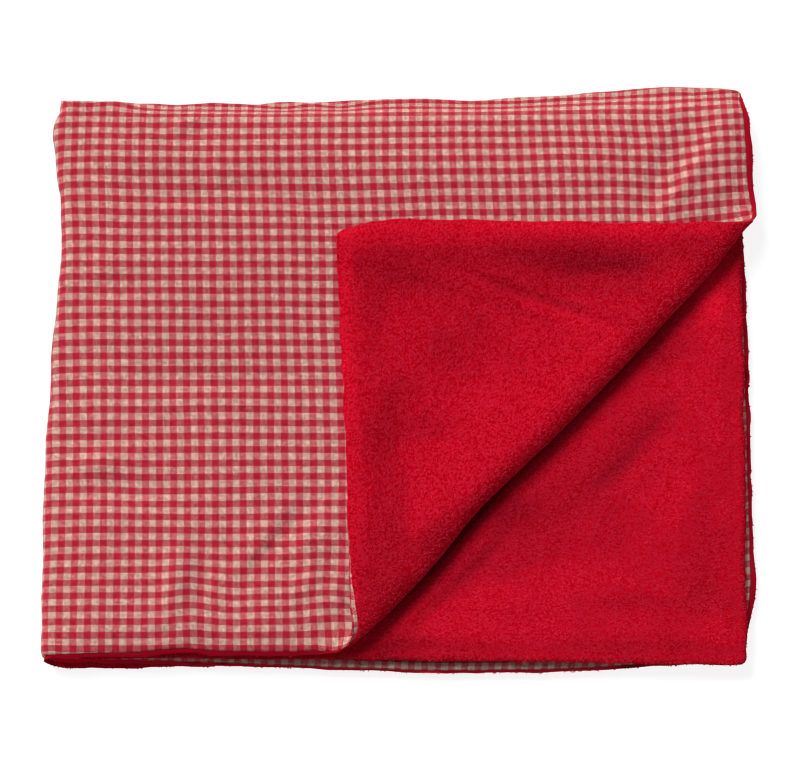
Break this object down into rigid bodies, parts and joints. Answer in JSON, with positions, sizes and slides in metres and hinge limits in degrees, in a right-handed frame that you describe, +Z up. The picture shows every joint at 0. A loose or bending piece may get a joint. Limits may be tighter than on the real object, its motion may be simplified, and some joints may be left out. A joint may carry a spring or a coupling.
{
  "type": "dog blanket",
  "caption": "Folded dog blanket of checked woven cotton backed with plush fleece, lying flat, with the top layer's corner turned back to show the fleece.",
  "frame": {"origin": "centre of the folded blanket's footprint, on the surface it lies on", "axes": "+X along the wide open front edge to the open side, +Y to the long fold at the back, +Z up"},
  "size_m": [0.6116, 0.5178, 0.0418],
  "materials": {
    "gingham": "plain-woven red and ecru cotton check, matt",
    "fleece": "brushed red polyester fleece, deep matt pile"
  },
  "bodies": {
    "root": {"gingham_panel": "gingham", "fleece_panel": "fleece"}
  },
  "joints": []
}
